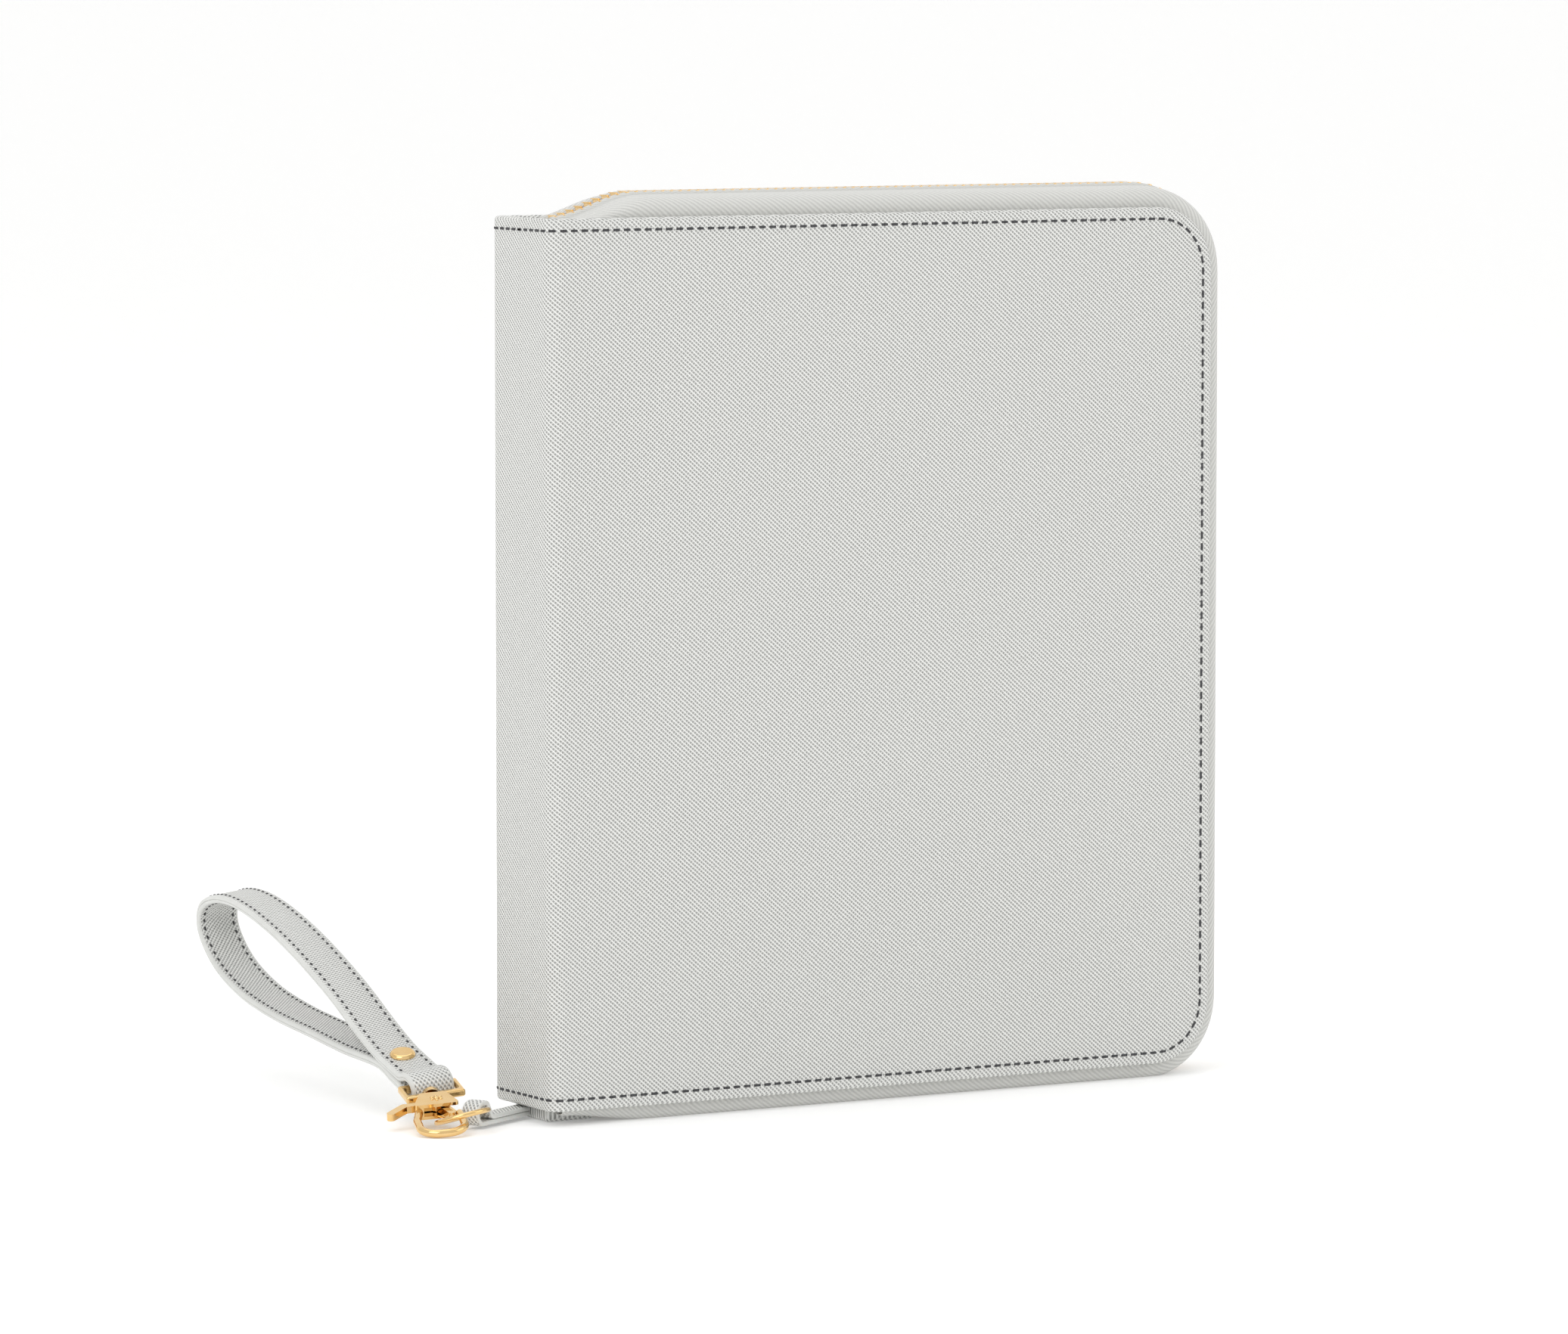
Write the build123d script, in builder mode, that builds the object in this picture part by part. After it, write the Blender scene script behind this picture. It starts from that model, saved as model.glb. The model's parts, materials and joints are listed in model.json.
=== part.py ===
"""Zip-round leatherette prayer book case with its text block and a clip-on wrist strap.

Frame: the case stands on its lower edge. +X runs from the spine to the fore edge, -Y is the front
cover, +Z is up. The origin is on the standing surface, under the foot patch at the spine's end.
"""

import os
from math import atan2, cos, degrees, radians, sin

from build123d import *

os.makedirs("parts", exist_ok=True)

# ---------------------------------------------------------------- driving dimensions, millimetres
COVER_H = 246.5  # height of a cover
COVER_W = 215.5  # spine's outer face to a cover's fore edge
CASE_T = 36.0  # over both covers
CORNER_R = 18.0  # outer corners at the fore edge
X_SPINE = -11.0  # outer face of the spine
Z_COVER = 4.2  # lower edge of the covers above the standing surface

LEATHER = 1.2
BOARD = 1.8
LINING = 0.8
BOARD_INSET = 1.4  # how far boards and linings stay inside the leather's edge
HINGE_GAP = 0.4  # between a cover and the spine panel
POCKET_W, POCKET_H, POCKET_T = 150.0, 170.0, 0.6

TAPE_OUT = 5.6  # how far the middle of the closed zip stands out past the covers
TAPE_T = 0.8
TAPE_DEPTH = 9.0  # how far the tape's sewn edge reaches in from the teeth
TEETH_W = 2.3  # one row of teeth, across the zip
TEETH_T = 2.6
TEETH_GAP = 0.7  # half of the gap between the two rows
TEETH_LOW = 3.4  # middle of the teeth along the lower edge
ZIP_START = 12.0  # from the spine's face to the zip's upper end
ZIP_LEVEL = 35.0  # from the spine's face to where the zip has come up
ZIP_DIVE = 7.0
ZIP_END = 20.0  # from the spine's face to the zip's lower, closed end
FOOT_W = 6.6  # each fold of tape that the case stands on

BLOCK_W, BLOCK_H, BLOCK_T = 196.0, 228.0, 18.0  # text block
LEAVES_T = 3.0  # packet of leaves that turns with the front cover
LEAVES_GAP = 0.8

RING_R, RING_WIRE = 7.3, 0.75  # middle of the ring's wire, and its radius
TAB_W, TAB_EYE_R, TAB_WALL = 5.4, 2.2, 1.3  # leather tab that holds the ring
TAB_HEADING = 210.0  # degrees from +X, seen from above
STRAP_W, STRAP_PLY = 12.7, 1.2
STRAP_HEADING = 5.0  # degrees from +Y towards +X
STRAP_ROLL = 8.0  # degrees, right edge up
EYE_R = 2.2  # fold of the strap round the bail's rear bar
BAIL_AT = (-34.0, 14.0, 9.5)  # middle of that bar
CLASP_TIP = (-46.0, -18.5, 1.4)  # end of the hook, resting on the surface
HOOK_WIRE = 1.15

# ---------------------------------------------------------------- places worked out from them
half_t = CASE_T / 2
z_top = Z_COVER + COVER_H
z_mid = (Z_COVER + z_top) / 2
x_edge = X_SPINE + COVER_W
y_board = half_t - LEATHER
y_lining = y_board - BOARD
y_inside = y_lining - LINING
x_cover = X_SPINE + LEATHER + HINGE_GAP
tape_y = TEETH_GAP + TEETH_W


def save(piece, label):
    """Label a finished piece and write it as its own STEP file."""
    piece.label = label
    export_step(piece, f"parts/{label}.step")


def slab(side, y_in, y_out, x0, x1, z0, z1, corners=None, radius=0.0):
    """A sheet parallel to the covers, its fore-edge or all corners rounded."""
    far = max(side * y_in, side * y_out)
    with BuildPart() as sheet:
        with BuildSketch(Plane.XZ.offset(-far)) as outline:
            with Locations(((x0 + x1) / 2, (z0 + z1) / 2)):
                Rectangle(x1 - x0, z1 - z0)
            if corners == "fore":
                fillet(outline.vertices().group_by(Axis.X)[-1], radius)
            elif corners == "all":
                fillet(outline.vertices(), radius)
        extrude(amount=abs(y_out - y_in))
    return sheet.part


def zip_path():
    """Middle of the closed zip round three sides, diving between the covers at its upper end."""
    right, top = x_edge + TAPE_OUT, z_top + TAPE_OUT
    with BuildLine(Plane.XZ) as line:
        FilletPolyline(
            (X_SPINE + ZIP_END, TEETH_LOW), (right, TEETH_LOW), (right, top),
            (X_SPINE + ZIP_LEVEL, top), (X_SPINE + ZIP_START, top - ZIP_DIVE),
            radius=[CORNER_R + TAPE_OUT, CORNER_R + TAPE_OUT, 30.0],
        )
    return line.line


def make_cover(side, name):
    """Leather, board, lining, pocket, zip tape and teeth of one cover, front (-1) or back (+1)."""
    inner = BOARD_INSET
    leather = slab(side, y_board, half_t, x_cover, x_edge, Z_COVER, z_top, "fore", CORNER_R)
    save(leather, f"{name}_cover_leather")
    sheets = (("board", y_lining, y_board, 3.0), ("lining", y_inside, y_lining, 1.0))
    for layer, y_in, y_out, back in sheets:
        sheet = slab(side, y_in, y_out, x_cover + back, x_edge - inner,
                     Z_COVER + inner, z_top - inner, "fore", CORNER_R - inner)
        save(sheet, f"{name}_cover_{layer}")
    pocket_x = x_edge - 25.0 - POCKET_W
    pocket = slab(side, y_inside - POCKET_T, y_inside, pocket_x, pocket_x + POCKET_W,
                  Z_COVER + 20.0, Z_COVER + 20.0 + POCKET_H, "all", 6.0)
    save(pocket, f"{name}_pocket")

    # the section's own y axis points into the case on the back half and out of it on the front
    path = zip_path()
    section = Plane(origin=path @ 0, x_dir=(0, side, 0), z_dir=path % 0)
    with BuildPart() as tape:
        with BuildSketch(section):
            with BuildLine():
                Polyline(
                    (tape_y, -side * TAPE_T / 2), (y_inside, side * TAPE_T),
                    (y_inside, side * TAPE_DEPTH), (y_inside - TAPE_T, side * TAPE_DEPTH),
                    (y_inside - TAPE_T, side * 2 * TAPE_T), (tape_y, side * TAPE_T / 2),
                    close=True,
                )
            make_face()
        sweep(path=path)
        # slack of the tape, squashed flat under the lower edge: the case stands on it
        foot_x0, foot_x1, foot_h = X_SPINE + ZIP_END + 2, x_edge - CORNER_R, TEETH_LOW + TAPE_T
        with Locations(((foot_x0 + foot_x1) / 2, side * (y_inside - FOOT_W / 2), foot_h / 2)):
            Box(foot_x1 - foot_x0, FOOT_W, foot_h)
        fillet(tape.edges().filter_by(Axis.X).group_by(Axis.Z)[0], 1.2)
    save(tape.part, f"{name}_zip_tape")
    with BuildPart() as teeth:
        with BuildSketch(section):
            with Locations((TEETH_GAP + TEETH_W / 2, 0)):
                Rectangle(TEETH_W, TEETH_T)
        sweep(path=path)
    save(teeth.part, f"{name}_zip_teeth")


make_cover(-1, "front")
make_cover(1, "back")


# ---------------------------------------------------------------- spine and text block
def upright(label, x0, x1, width, z0, z1, y_middle=0.0, round_r=0.0):
    """A block standing along Z, given by its x and z limits and its width across the case."""
    with BuildPart() as block:
        with Locations(((x0 + x1) / 2, y_middle, (z0 + z1) / 2)):
            Box(x1 - x0, width, z1 - z0)
        if round_r:
            fillet(block.edges().filter_by(Axis.Z).group_by(Axis.X)[0], round_r)
    save(block.part, label)


panel_w = 2 * (half_t - LEATHER - HINGE_GAP)
upright("spine_leather", X_SPINE, X_SPINE + LEATHER, panel_w, Z_COVER, z_top)
x_stiff = X_SPINE + LEATHER
upright("spine_stiffener", x_stiff, x_stiff + BOARD, panel_w - 6.0, Z_COVER + 2.0, z_top - 2.0)
x_line = x_stiff + BOARD
upright("spine_lining", x_line, x_line + LINING, panel_w - 8.0, Z_COVER + 2.0, z_top - 2.0)

x_block = x_line + LINING
z_block = z_mid - BLOCK_H / 2
block_side = BLOCK_T / 2
upright("text_block", x_block, x_block + BLOCK_W, BLOCK_T, z_block, z_block + BLOCK_H, 0.0, 3.0)
leaves_y = -(block_side + LEAVES_GAP + LEAVES_T / 2)
x_leaves = x_block + 7.0
upright("front_leaves", x_leaves, x_block + BLOCK_W, LEAVES_T,
        z_block, z_block + BLOCK_H, leaves_y)
band_w, band_out = BLOCK_T - 5.0, 2.6
upright("head_band", x_block, x_block + 3.0, band_w, z_block + BLOCK_H, z_block + BLOCK_H + band_out)
upright("tail_band", x_block, x_block + 3.0, band_w, z_block - band_out, z_block)

RIBBON_W, RIBBON_T, RIBBON_OUT = 6.0, 0.5, 2.6
with BuildPart() as ribbon:
    with BuildSketch(Plane.XZ.offset(-block_side - RIBBON_T)):
        with BuildLine():
            ribbon_x = x_block + 24.0
            Polyline(
                (ribbon_x, z_block + BLOCK_H + 1.0), (ribbon_x + RIBBON_W, z_block + BLOCK_H + 1.0),
                (ribbon_x + RIBBON_W, z_block - RIBBON_OUT), (ribbon_x + RIBBON_W / 2, z_block),
                (ribbon_x, z_block - RIBBON_OUT), close=True,
            )
        make_face()
    extrude(amount=RIBBON_T)
save(ribbon.part, "ribbon_marker")

# patch of leather over the zip's closed end, which is also the case's foot at the spine
FOOT_PATCH_X, FOOT_PATCH_W = 8.0, 22.0
with BuildPart() as patch:
    with Locations(((X_SPINE + 3.0 + FOOT_PATCH_X) / 2, 0, (Z_COVER + 1.9) / 2)):
        Box(FOOT_PATCH_X - X_SPINE - 3.0, FOOT_PATCH_W, Z_COVER + 1.9)
    fillet(patch.edges().filter_by(Axis.Z), 2.0)
save(patch.part, "foot_patch")

# ---------------------------------------------------------------- zip slider, parked at the spine
SLIDER_X, SLIDER_L, SLIDER_W, PLATE_T = 20.0, 10.0, 8.6, 0.8
BRIDGE_L = 2.4  # post between the slider's two plates
slider_clear = 0.3
plate_z = TEETH_T / 2 + slider_clear + PLATE_T / 2
with BuildPart() as slider:
    with Locations((SLIDER_X, 0, TEETH_LOW - plate_z), (SLIDER_X, 0, TEETH_LOW + plate_z)):
        Box(SLIDER_L, SLIDER_W, PLATE_T)
    fillet(slider.edges().filter_by(Axis.Z), 2.5)
    with Locations((SLIDER_X - SLIDER_L / 2 + 1.5, 0, TEETH_LOW)):
        Box(BRIDGE_L, 2 * (TEETH_GAP - slider_clear), 2 * plate_z)
save(slider.part, "zip_slider")

PULL_L, PULL_W, PULL_T = 24.0, 6.0, 0.7
PULL_HOLE_R = 1.2
PULL_Z = 0.15  # underside of the pull, just off the table
pull_x = SLIDER_X + SLIDER_L / 2 + slider_clear
with BuildPart() as pull:
    with BuildSketch(Plane.XY.offset(PULL_Z)):
        with Locations((pull_x + PULL_L / 2, 0)):
            SlotOverall(PULL_L, PULL_W)
        with Locations((pull_x + PULL_L - PULL_W / 2, 0)):
            Circle(PULL_HOLE_R, mode=Mode.SUBTRACT)
    extrude(amount=PULL_T)
save(pull.part, "zip_pull")

# ---------------------------------------------------------------- strap plane and clasp plane
heading, roll = radians(STRAP_HEADING), radians(STRAP_ROLL)
bail_at = Vector(*BAIL_AT)
along = Vector(sin(heading), cos(heading), 0)
across = Vector(cos(heading) * cos(roll), -sin(heading) * cos(roll), sin(roll))
strap_plane = Plane(origin=bail_at - across * (STRAP_W / 2), x_dir=along, z_dir=across)

to_tip = Vector(*CLASP_TIP) - bail_at
CLASP_L = to_tip.length
clasp_x = to_tip.normalized()
clasp_y = (across - clasp_x * across.dot(clasp_x)).normalized()
clasp_z = clasp_x.cross(clasp_y)
clasp_plane = Plane(origin=bail_at, x_dir=clasp_x, z_dir=clasp_z)


def clasp_point(u, v=0.0, w=0.0):
    """A point in the clasp's own frame: u towards the hook's end, v to the right, w up."""
    return bail_at + clasp_x * u + clasp_y * v + clasp_z * w


# ---------------------------------------------------------------- leather tab and its ring
LEG_V, LEG_U = 6.3, 24.6  # where the hook's right leg passes through the ring
RING_TILT = 17.0
ring_at = clasp_point(LEG_U, LEG_V)
tab_dir = Vector(cos(radians(TAB_HEADING)), sin(radians(TAB_HEADING)), 0)
tab_across = Vector(tab_dir.Y, -tab_dir.X, 0)
fold_at = ring_at - tab_dir * RING_R
ring_far = tab_across * cos(radians(RING_TILT)) - Vector(0, 0, 1) * sin(radians(RING_TILT))
with BuildPart() as ring:
    with BuildSketch(Plane(origin=fold_at, x_dir=tab_dir, z_dir=ring_far)):
        Circle(RING_WIRE)
    revolve(axis=Axis(ring_at, tab_dir.cross(ring_far)))
save(ring.part, "ring")

tab_len = (X_SPINE + 6.0 - fold_at.X) / -tab_dir.X
tab_plane = Plane(
    origin=fold_at + tab_across * (TAB_W / 2), x_dir=tab_dir * -1, z_dir=tab_across * -1
)
with BuildPart() as tab:
    with BuildSketch(tab_plane):
        Circle(TAB_EYE_R + TAB_WALL)
        with Locations((tab_len / 2, -TAB_EYE_R - TAB_WALL + 1.6)):
            Rectangle(tab_len, 3.2)
        Circle(TAB_EYE_R, mode=Mode.SUBTRACT)
    extrude(amount=TAB_W)
    with Locations(((X_SPINE + 3.0 + FOOT_PATCH_X) / 2, 0, 0)):
        Box(FOOT_PATCH_X - X_SPINE - 3.0, 3 * FOOT_PATCH_W, 4 * Z_COVER, mode=Mode.SUBTRACT)
save(tab.part, "ring_tab")

# ---------------------------------------------------------------- wrist strap, a standing loop
# corners of the loop's inside, in the strap's plane: first along it, then up from the bail
INSIDE = ((22, 6.4), (68, 8.2), (116, 14.6), (148, 22.5), (145, 40.5), (104, 41.2), (64, 28.4))
ROUNDING = [0.8, 150.0, 60.0, 8.0, 8.0, 60.0, 110.0]
TAIL_RISE = 16.3  # degrees, the pinched stretch between the bail and the rivet
TAIL_L, RIVET_AT = 25.0, 17.0
RIVET_R, CAP_R, CAP_H, BACK_R, BACK_H = 1.6, 3.6, 1.1, 3.0, 0.7
rise = radians(TAIL_RISE)
strap_plies = 2 * STRAP_PLY
tail_dir = along * cos(rise) + strap_plane.y_dir * sin(rise)
tail_up = across.cross(tail_dir)
rivet_plane = Plane(origin=bail_at + tail_dir * RIVET_AT, x_dir=tail_dir, z_dir=tail_up)


def strap_ply(label, inner, outer):
    """One ply: a band round the loop, the pinched tail and the eye round the bail, with its hole."""
    with BuildPart() as ply:
        with BuildSketch(strap_plane):
            for reach, mode in ((outer, Mode.ADD), (inner, Mode.SUBTRACT)):
                with BuildSketch(strap_plane, mode=Mode.PRIVATE) as layer:
                    with BuildLine():
                        FilletPolyline(*INSIDE, radius=ROUNDING, close=True)
                    make_face()
                    if reach:
                        offset(amount=reach, kind=Kind.ARC)
                        middle = Location((TAIL_L * cos(rise) / 2, TAIL_L * sin(rise) / 2, 0), TAIL_RISE)
                        with Locations(middle):
                            Rectangle(TAIL_L, 2 * reach)
                    Circle(EYE_R + reach)
                add(layer.sketch_local, mode=mode)
        extrude(amount=STRAP_W)
        with BuildSketch(rivet_plane):
            Circle(RIVET_R + 0.02)
        extrude(amount=2 * strap_plies, both=True, mode=Mode.SUBTRACT)
    save(ply.part, label)


strap_ply("strap_lining", 0.0, STRAP_PLY)
strap_ply("strap_face", STRAP_PLY, strap_plies)

with BuildPart() as rivet:
    with BuildSketch(rivet_plane):
        Circle(RIVET_R)
    extrude(amount=strap_plies, both=True)
    with BuildSketch(rivet_plane.offset(strap_plies)):
        Circle(CAP_R)
    extrude(amount=CAP_H)
    fillet(rivet.faces().sort_by(Axis(bail_at, tail_up))[-1].edges(), CAP_H * 0.9)
    with BuildSketch(rivet_plane.offset(-strap_plies)):
        Circle(BACK_R)
    extrude(amount=-BACK_H)
save(rivet.part, "strap_rivet")

# ---------------------------------------------------------------- swivel clasp
FRONT_BAR, BAIL_W, BAIL_T = 7.6, 17.0, 2.2
POST_R, BOSS_R = 1.1, 2.5
BODY_U, PLATE_U, BODY_END = 10.0, 12.2, 19.0
BODY_T, SLOT_T = 4.4, 2.6
PIVOT, NOSE_U = (14.5, 0.5), 22.0
bar_dir = (across + clasp_y).normalized()
bail_x = (clasp_x - bar_dir * clasp_x.dot(bar_dir)).normalized()
bail_plane = Plane(origin=bail_at, x_dir=bail_x, z_dir=bail_x.cross(bar_dir))
boss_plane = Plane(origin=clasp_point(FRONT_BAR - BAIL_T / 2), z_dir=clasp_x)
with BuildPart() as bail:
    with BuildSketch(bail_plane.offset(-BAIL_T / 2)):
        with Locations((FRONT_BAR / 2, 0)):
            Rectangle(FRONT_BAR + BAIL_T, BAIL_W)
            Rectangle(FRONT_BAR - BAIL_T, BAIL_W - 3.0, mode=Mode.SUBTRACT)
    extrude(amount=BAIL_T)
    fillet(bail.edges(), 0.7)
    with BuildSketch(boss_plane):
        Circle(BOSS_R)
    extrude(amount=BAIL_T)
    with BuildSketch(boss_plane):
        Circle(POST_R + 0.05)
    extrude(amount=2 * BAIL_T, both=True, mode=Mode.SUBTRACT)
save(bail.part, "bail")


def bar(start, end, radius):
    """A round-ended bar between two points of the current sketch."""
    run = Vector(*end) - Vector(*start)
    middle = (Vector(*start) + Vector(*end)) * 0.5
    with Locations((middle.X, middle.Y)):
        SlotCenterToCenter(run.length, 2 * radius, rotation=degrees(atan2(run.Y, run.X)))


POST_CLEAR, POST_HEAD_R, POST_HEAD_T = 0.15, 1.8, 0.6  # riveted end of the swivel post
PIN_BORE_R = 0.85
with BuildPart() as body:
    with BuildSketch(clasp_plane.offset(-BODY_T / 2)):
        with BuildLine():
            Polyline((BODY_U, -3.6), (BODY_END, -6.4), (BODY_END, 6.4), (BODY_U, 3.6), close=True)
        make_face()
    extrude(amount=BODY_T)
    fillet(body.edges().filter_by(Axis(bail_at, clasp_z)), 0.8)
    with BuildSketch(clasp_plane.offset(-SLOT_T / 2)):
        with BuildLine():
            Polyline(
                (PLATE_U, -9), (BODY_END - 2.0, -9), (BODY_END - 2.0, -3.6), (BODY_END + 1, -3.6),
                (BODY_END + 1, 9), (PLATE_U, 9), close=True,
            )
        make_face()
    extrude(amount=SLOT_T, mode=Mode.SUBTRACT)
    with BuildSketch(Plane(origin=clasp_point(BODY_U + 0.5), z_dir=clasp_x)):
        Circle(POST_R)
    extrude(amount=-(BODY_U + 0.5 - FRONT_BAR + BAIL_T / 2 + POST_CLEAR))
    with BuildSketch(Plane(origin=clasp_point(FRONT_BAR - BAIL_T / 2 - POST_CLEAR), z_dir=clasp_x)):
        Circle(POST_HEAD_R)
    extrude(amount=-POST_HEAD_T)
    with BuildSketch(clasp_plane.offset(-BODY_T / 2)):
        with Locations(PIVOT):
            Circle(PIN_BORE_R)
    extrude(amount=BODY_T, mode=Mode.SUBTRACT)
save(body.part, "clasp_body")

with BuildPart() as hook:
    with BuildLine(clasp_plane) as wire:
        FilletPolyline(
            (BODY_END + 0.1, -5.0), (25, -6.3), (CLASP_L, -6.0), (CLASP_L, 6.0), (25, 6.3), (NOSE_U, 5.8),
            radius=[4.0, 5.4, 5.4, 4.0],
        )
    with BuildSketch(Plane(origin=wire.line @ 0, z_dir=wire.line % 0)):
        Circle(HOOK_WIRE)
    sweep(path=wire.line)
save(hook.part, "clasp_hook")

with BuildPart() as pin:
    with BuildSketch(clasp_plane.offset(-BODY_T / 2)):
        with Locations(PIVOT):
            Circle(0.8)
    extrude(amount=BODY_T)
save(pin.part, "clasp_pin")

with BuildPart() as gate:
    with BuildSketch(clasp_plane.offset(-1.0)):
        bar(PIVOT, (NOSE_U + 1.0, 3.55), 0.9)
        bar(PIVOT, (15.0, -8.6), 1.1)
        bar((15.0, -8.6), (19.5, -12.8), 1.2)
        with Locations(PIVOT):
            Circle(1.9)
            Circle(0.86, mode=Mode.SUBTRACT)
    extrude(amount=2.0)
save(gate.part, "clasp_lever")
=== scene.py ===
"""Looks of a zip-round leatherette book case with its text block, gold fittings and wrist strap."""

import json
from math import atan2, ceil, cos, pi, radians, sin, tan

import bmesh
import bpy
from mathutils import Matrix, Vector


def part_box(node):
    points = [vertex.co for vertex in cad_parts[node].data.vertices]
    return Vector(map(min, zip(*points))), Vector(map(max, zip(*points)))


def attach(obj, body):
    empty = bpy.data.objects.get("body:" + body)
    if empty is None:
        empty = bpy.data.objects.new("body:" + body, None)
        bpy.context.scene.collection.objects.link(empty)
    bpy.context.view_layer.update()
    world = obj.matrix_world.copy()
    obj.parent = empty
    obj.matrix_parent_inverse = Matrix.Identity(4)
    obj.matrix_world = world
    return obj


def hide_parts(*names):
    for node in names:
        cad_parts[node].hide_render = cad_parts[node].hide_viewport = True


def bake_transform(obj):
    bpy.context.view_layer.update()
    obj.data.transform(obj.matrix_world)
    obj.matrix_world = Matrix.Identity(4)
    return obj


bl_info = {
    "name": "Zip-Round Book Case",
    "version": (1, 0, 0),
    "blender": (4, 5, 0),
    "location": "View3D > Sidebar > Book Case",
    "description": "Leatherette, woven, gilt and paper pieces around the case's fixed frame",
    "category": "Object",
}

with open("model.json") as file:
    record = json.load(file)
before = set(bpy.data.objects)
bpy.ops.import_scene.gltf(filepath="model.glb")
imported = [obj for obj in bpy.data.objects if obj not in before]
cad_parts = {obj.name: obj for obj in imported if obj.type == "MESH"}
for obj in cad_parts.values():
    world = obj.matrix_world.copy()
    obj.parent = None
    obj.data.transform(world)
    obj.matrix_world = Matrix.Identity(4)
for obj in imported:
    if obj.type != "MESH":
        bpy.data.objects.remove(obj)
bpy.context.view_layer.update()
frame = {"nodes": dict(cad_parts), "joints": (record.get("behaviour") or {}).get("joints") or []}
MM = 0.001

# ---------------------------------------------------------------- places read from the frame
COVER_LO, COVER_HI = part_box("front_cover_leather")
X_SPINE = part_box("spine_leather")[0].x - 0.9 * MM  # padded leather stands a little proud of the spine
HALF_T = -COVER_LO.y
X_EDGE = COVER_HI.x
Z_LOW, Z_TOP = COVER_LO.z, COVER_HI.z
CASE_R = 18.0 * MM  # corners at the fore edge
JOINTS = {joint["name"]: joint for joint in frame["joints"]}


def joint_point(name):
    """The point that a joint turns about."""
    return Vector(JOINTS[name]["pos_m"])


def joint_axis(name):
    """The direction of a joint's axis."""
    return Vector(JOINTS[name]["axis"]).normalized()


BAIL_AT = joint_point("clasp_swivel")
ACROSS = joint_axis("strap_swing")
ALONG = Vector((0, 0, 1)).cross(ACROSS).normalized()
LIFT = ACROSS.cross(ALONG)
CLASP_X = joint_axis("clasp_swivel")
CLASP_Z = -joint_axis("lever_press")
CLASP_Y = CLASP_Z.cross(CLASP_X)
FOLD_AT = joint_point("ring_swing")
TAB_ACROSS = joint_axis("ring_swing")

# ---------------------------------------------------------------- shape of the soft parts
SKIN_T = 3.5 * MM  # leather, board and turned-in edge together
SPINE_R = 4.2 * MM  # rounding between the spine and a cover
COVER_DROP = 0.5 * MM  # how far a cover falls away beside the spine
DROP_RUN = 45.0 * MM
FLAT_HALF = HALF_T - SPINE_R - COVER_DROP
BEND_RUN = SPINE_R * pi / 2
SKIN_W = FLAT_HALF + BEND_RUN + X_EDGE - X_SPINE - SPINE_R
EDGE_ROUNDING = 1.1 * MM
STITCH_INSET = 3.3 * MM  # from a cover's edge to the middle of its stitches
STITCH_FLATNESS = 0.6  # thickness of a stitch as a share of its width
SIDES = (("front", -1), ("back", 1))


def skin_point(side, s, z, depth):
    """A place on the case's skin: s runs from the middle of the spine round onto a cover."""
    if s <= FLAT_HALF:
        return Vector((X_SPINE + depth, side * s, z))
    if s < FLAT_HALF + BEND_RUN:
        turn = (s - FLAT_HALF) / SPINE_R
        reach = SPINE_R - depth
        return Vector((X_SPINE + SPINE_R - reach * cos(turn), side * (FLAT_HALF + reach * sin(turn)), z))
    x = s - FLAT_HALF - BEND_RUN
    rise = min(x / DROP_RUN, 1.0)
    drop = COVER_DROP * (1 - rise * rise * (3 - 2 * rise))
    return Vector((X_SPINE + SPINE_R + x, side * (HALF_T - drop - depth), z))


def rounded(corners, radii, step=radians(9)):
    """Points along straight runs joined by arcs, from corner points and a radius for each."""
    points = [Vector(corner) for corner in corners]
    count = len(points)
    path = []
    for i, point in enumerate(points):
        if i in (0, count - 1):
            path.append(point)
            continue
        before = (points[i - 1] - point).normalized()
        after = (points[i + 1] - point).normalized()
        half = before.angle(after) / 2
        radius = radii[i]
        centre = point + (before + after).normalized() * (radius / sin(half))
        first = point + before * (radius / tan(half))
        last = point + after * (radius / tan(half))
        turn = pi - 2 * half
        pieces = max(2, ceil(turn / step))
        spoke, side = first - centre, last - centre
        for k in range(pieces + 1):
            share = k / pieces
            path.append(centre + (spoke * sin(turn * (1 - share)) + side * sin(turn * share)) / sin(turn))
    return path


def piece(name, bm, *materials, sharp=40.0):
    """A finished bmesh as an object, its shading split at edges sharper than the given angle."""
    mesh = bpy.data.meshes.new(name)
    bm.to_mesh(mesh)
    bm.free()
    for material in materials:
        mesh.materials.append(material)
    mesh.shade_smooth()
    mesh.set_sharp_from_angle(angle=radians(sharp))
    made = bpy.data.objects.new(name, mesh)
    bpy.context.scene.collection.objects.link(made)
    return made


def hinge_blend(made):
    """Bake a piece of the skin's placement into its mesh."""
    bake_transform(made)


# ---------------------------------------------------------------- materials
def new_group(name, inputs, outputs):
    """An empty shader node group with the given sockets, and its input and output nodes."""
    group = bpy.data.node_groups.new(name, "ShaderNodeTree")
    for label, kind, value in inputs:
        socket = group.interface.new_socket(label, in_out="INPUT", socket_type=kind)
        if value is not None:
            socket.default_value = value
    for label, kind in outputs:
        group.interface.new_socket(label, in_out="OUTPUT", socket_type=kind)
    return group, group.nodes.new("NodeGroupInput"), group.nodes.new("NodeGroupOutput")


def math_node(tree, operation, first, second=None, clamp=False):
    """A Math node whose inputs are sockets or numbers."""
    node = tree.nodes.new("ShaderNodeMath")
    node.operation = operation
    node.use_clamp = clamp
    for socket, value in zip(node.inputs, (first, second)):
        if value is None:
            continue
        if isinstance(value, (int, float)):
            socket.default_value = value
        else:
            tree.links.new(value, socket)
    return node.outputs[0]


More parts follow.
